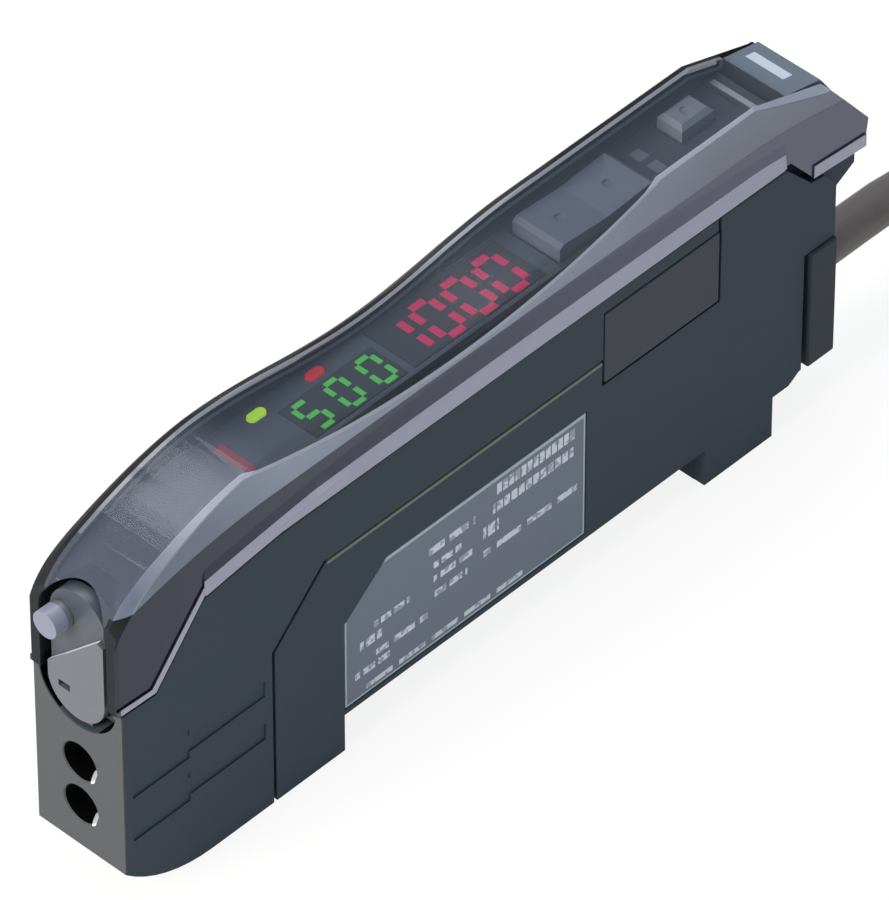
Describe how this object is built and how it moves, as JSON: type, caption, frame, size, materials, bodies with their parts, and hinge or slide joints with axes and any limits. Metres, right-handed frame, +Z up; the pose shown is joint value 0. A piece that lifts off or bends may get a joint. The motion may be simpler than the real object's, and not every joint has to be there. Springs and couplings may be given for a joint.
{
  "type": "fibre optic sensor amplifier",
  "caption": "Slim rail-mounted fibre optic sensor amplifier with a hinged smoked cover over its displays and keys, two fibre ports, a lock lever and a cable.",
  "frame": {"origin": "under the middle of the length and width, on the plane of the two soles", "axes": "+X from the fibre ports to the cable, +Y away from the label side, +Z up"},
  "size_m": [0.1859, 0.0343, 0.0321],
  "materials": {
    "case_plastic": "fine moulded texture",
    "label_film": "printed film",
    "smoked_plastic": "clear smoked polycarbonate",
    "panel_plastic": "satin moulded",
    "green_display": "dark filter",
    "green_light": "lit strokes",
    "red_display": "dark filter",
    "red_light": "lit strokes",
    "lime_lens": "lit lens",
    "red_lens": "lit lens",
    "key_plastic": "satin moulded",
    "lever_plastic": "satin moulded",
    "switch_metal": "plated",
    "board_laminate": "solder mask",
    "chip_black": "moulded",
    "clear_optic": "moulded optic",
    "dark_optic": "moulded optic",
    "grip_rubber": "moulded",
    "pin_steel": "ground",
    "pocket_plastic": "fine moulded texture",
    "contact_brass": "plated",
    "bush_plastic": "fine moulded texture",
    "cable_jacket": "soft jacket",
    "tie_strap": "woven strap",
    "lead_brown": "insulation",
    "lead_blue": "insulation",
    "lead_black": "insulation",
    "lead_white": "insulation"
  },
  "bodies": {
    "housing": {"main_case": "case_plastic", "side_cover": "case_plastic", "rating_label": "label_film", "panel_plate": "panel_plastic", "green_display": "green_display", "green_digits": "green_light", "red_display": "red_display", "red_digits": "red_light", "lime_lamp": "lime_lens", "alarm_lamp": "red_lens", "bar_lens": "red_lens", "tact_switches": "switch_metal", "display_board": "board_laminate", "main_board": "board_laminate", "board_chips": "chip_black", "optic_holder": "chip_black", "emitter_led": "clear_optic", "receiver_diode": "dark_optic", "fibre_grip": "grip_rubber", "lever_pin": "pin_steel", "expansion_socket": "chip_black", "socket_pins": "contact_brass", "cable_bush": "bush_plastic", "cable": "cable_jacket", "cable_coil": "cable_jacket", "coil_tie": "tie_strap", "lead_brown": "lead_brown", "lead_blue": "lead_blue", "lead_black": "lead_black", "lead_white": "lead_white"},
    "cover": {"dust_cover": "smoked_plastic"},
    "lever": {"fibre_lever": "lever_plastic"},
    "rocker": {"rocker_key": "key_plastic"},
    "set_button": {"set_key": "key_plastic"},
    "pocket_cover": {"expansion_cover": "pocket_plastic"}
  },
  "joints": [
    {"name": "cover_hinge", "type": "hinge", "parent": "housing", "child": "cover", "pos_m": [0.0363, 0, 0.0232], "axis": [0, 1, 0], "range_deg": [0, 105]},
    {"name": "lever_hinge", "type": "hinge", "parent": "housing", "child": "lever", "pos_m": [-0.0361, 0, 0.0171], "axis": [0, -1, 0], "range_deg": [0, 60]},
    {"name": "rocker_tilt", "type": "hinge", "parent": "housing", "child": "rocker", "pos_m": [0.0131, 0, 0.02875], "axis": [0, 1, 0], "range_deg": [-4, 4], "stiffness_Nm_per_rad": 0.01},
    {"name": "set_press", "type": "slide", "parent": "housing", "child": "set_button", "axis": [0, 0, -1], "range_m": [0, 0.0004], "stiffness_N_per_m": 200},
    {"name": "pocket_cover_pull", "type": "slide", "parent": "housing", "child": "pocket_cover", "axis": [0, -1, 0], "range_m": [0, 0.006]}
  ]
}
